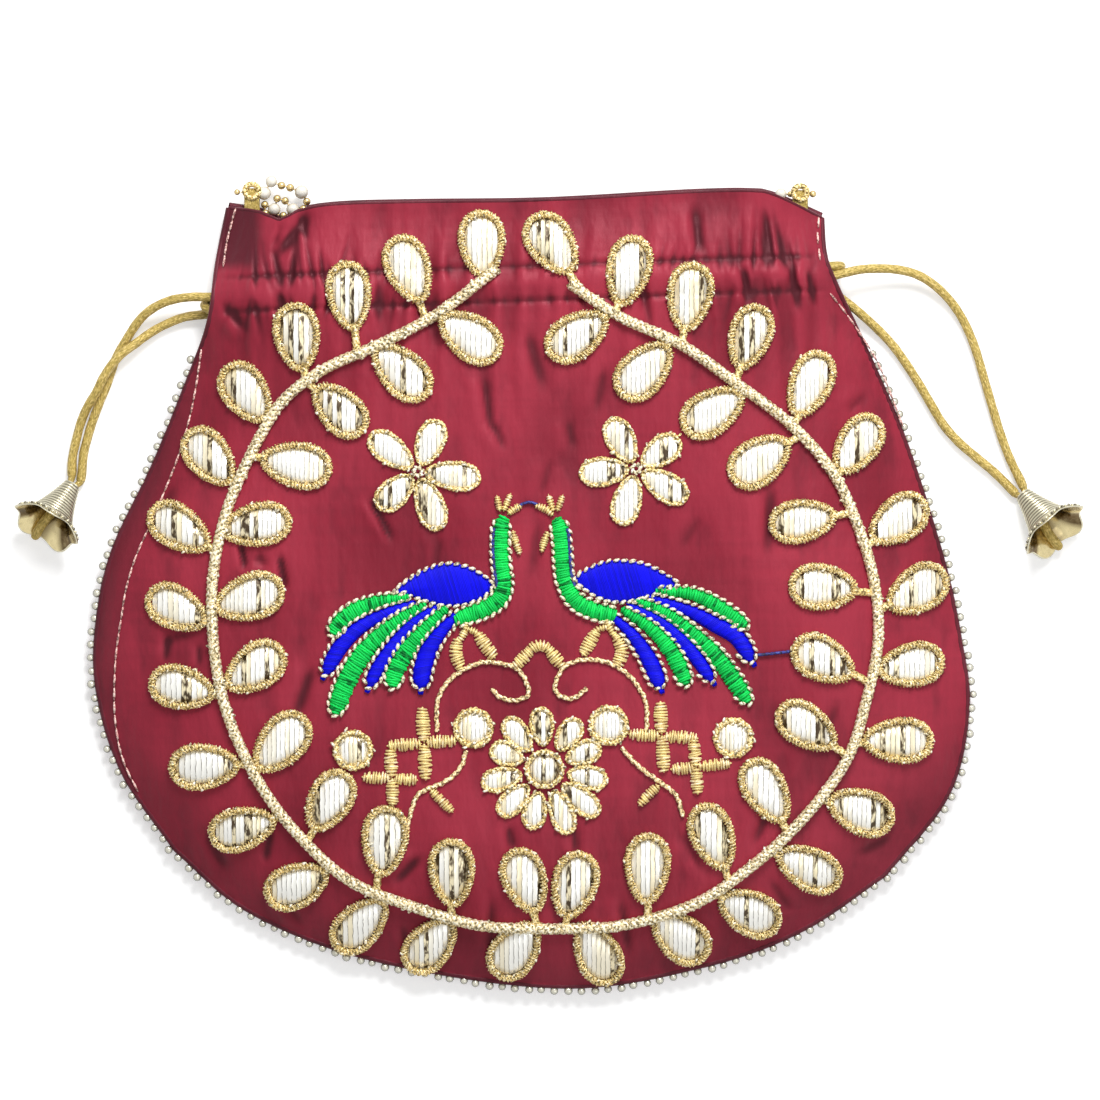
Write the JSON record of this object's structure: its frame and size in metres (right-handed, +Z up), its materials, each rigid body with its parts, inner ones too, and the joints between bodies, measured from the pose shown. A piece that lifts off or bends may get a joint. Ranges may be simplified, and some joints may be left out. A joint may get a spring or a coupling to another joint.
{
  "type": "drawstring potli bag",
  "caption": "Maroon silk potli bag with gold leaf applique, embroidered peacocks, gold drawcords ending in bells and a beaded handle, lying on its back",
  "frame": {"origin": "On the flat underside of the back panel, on the bag's upright middle line, near the middle of its height", "axes": "+X to the bag's right as seen from the front, +Y towards the mouth, +Z up out of the front panel"},
  "size_m": [0.2948, 0.2245, 0.0212],
  "materials": {
    "silk": "plain woven art silk, soft sheen",
    "lining": "plain woven lining",
    "gold_ribbon": "pleated metallic ribbon with a twisted edge",
    "gold_thread": "metallic embroidery thread",
    "blue_thread": "satin stitch, glossy",
    "green_thread": "satin stitch, glossy",
    "gold_cord": "satin cord, soft gloss",
    "bell_metal": "pale pressed metal, ribbed, polished",
    "glass_bead": "silver lined, clear",
    "pearl": "pearl and gold beads, glossy"
  },
  "bodies": {
    "bag": {"front_panel": "silk", "back_panel": "silk", "lining_front": "lining", "lining_back": "lining", "wreath_left": "gold_ribbon", "wreath_right": "gold_ribbon", "flower_left": "gold_ribbon", "flower_right": "gold_ribbon", "flower_centre": "gold_ribbon", "disc_outer_left": "gold_ribbon", "disc_inner_left": "gold_ribbon", "disc_inner_right": "gold_ribbon", "disc_outer_right": "gold_ribbon", "peacock_left_body": "blue_thread", "peacock_left_neck": "green_thread", "peacock_left_green_feather_1": "green_thread", "peacock_left_blue_feather_1": "blue_thread", "peacock_left_green_feather_2": "green_thread", "peacock_left_blue_feather_2": "blue_thread", "peacock_left_green_feather_3": "green_thread", "peacock_left_blue_feather_3": "blue_thread", "peacock_left_crest": "gold_thread", "peacock_left_beak": "gold_thread", "peacock_right_body": "blue_thread", "peacock_right_neck": "green_thread", "peacock_right_green_feather_1": "green_thread", "peacock_right_blue_feather_1": "blue_thread", "peacock_right_green_feather_2": "green_thread", "peacock_right_blue_feather_2": "blue_thread", "peacock_right_green_feather_3": "green_thread", "peacock_right_blue_feather_3": "blue_thread", "peacock_right_crest": "gold_thread", "peacock_right_beak": "gold_thread", "scroll_left": "gold_thread", "scroll_right": "gold_thread", "scroll_peak": "gold_thread", "hanging_leaves_left": "gold_thread", "hanging_leaves_right": "gold_thread", "cross_inner_left": "gold_thread", "cross_outer_left": "gold_thread", "cross_inner_right": "gold_thread", "cross_outer_right": "gold_thread", "sprig_left": "gold_thread", "sprig_right": "gold_thread", "drawcord_left": "gold_cord", "drawcord_right": "gold_cord", "knot_left": "gold_cord", "knot_right": "gold_cord", "edge_beads": "glass_bead", "handle_strand": "pearl", "handle_tab_left": "gold_cord", "handle_tab_right": "gold_cord"},
    "bell_left": {"bell_left": "bell_metal"},
    "bell_right": {"bell_right": "bell_metal"}
  },
  "joints": [
    {"name": "bell_left_spin", "type": "hinge", "parent": "bag", "child": "bell_left", "pos_m": [-0.1275, 0.0282, 0.00201], "axis": [-0.4492, -0.7599, 0.4698], "continuous": true},
    {"name": "bell_right_spin", "type": "hinge", "parent": "bag", "child": "bell_right", "pos_m": [0.1358, 0.0256, 0.00201], "axis": [0.5651, -0.6781, 0.4698], "continuous": true}
  ]
}
